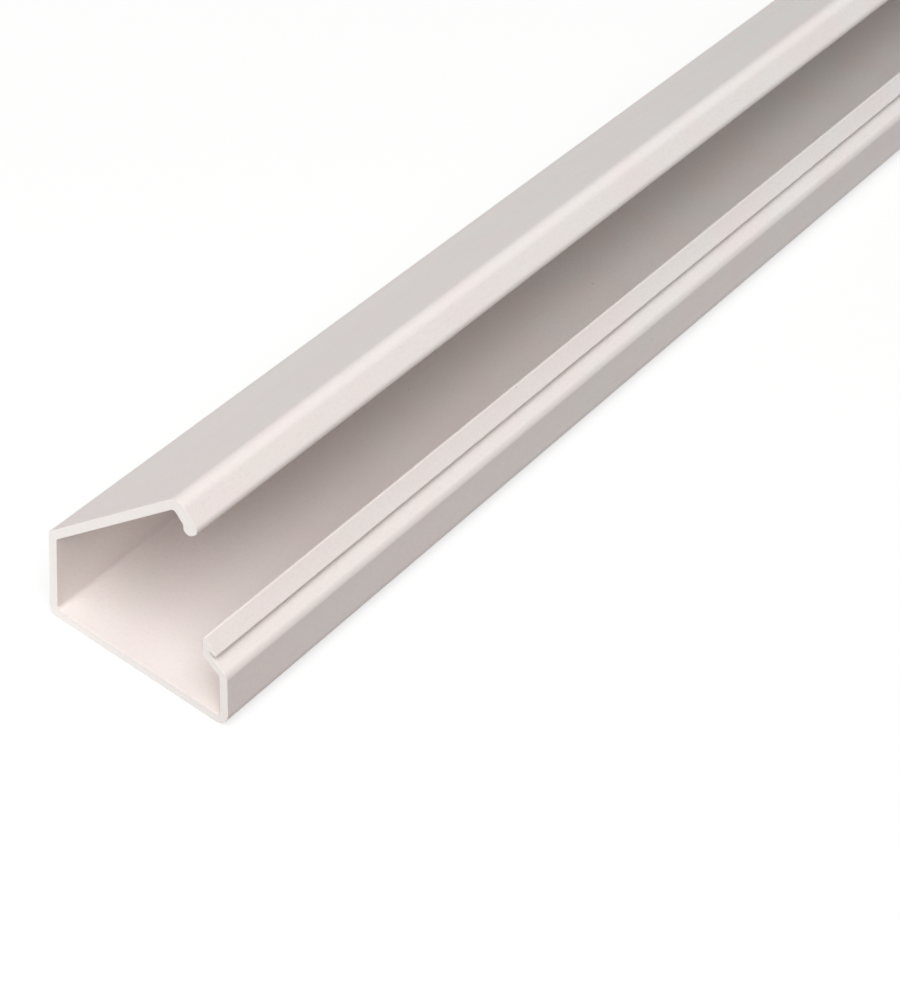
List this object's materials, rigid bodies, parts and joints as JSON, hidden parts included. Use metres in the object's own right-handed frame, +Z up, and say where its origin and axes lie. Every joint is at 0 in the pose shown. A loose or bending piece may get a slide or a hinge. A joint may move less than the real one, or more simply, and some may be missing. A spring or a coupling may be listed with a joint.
{
  "type": "cord cover raceway",
  "caption": "Straight length of one-piece latching cord channel with a flat base and its hinged lid standing open beside a snap catch.",
  "frame": {"origin": "middle of the flat underside, halfway along the length", "axes": "+Z up from the underside, Y along the length, +X from the hinge wall to the catch wall"},
  "size_m": [0.0243, 0.4, 0.027],
  "materials": {
    "white_pvc": "satin white rigid PVC, as extruded, with sawn ends"
  },
  "bodies": {
    "root": {"raceway_channel": "white_pvc"}
  },
  "joints": []
}
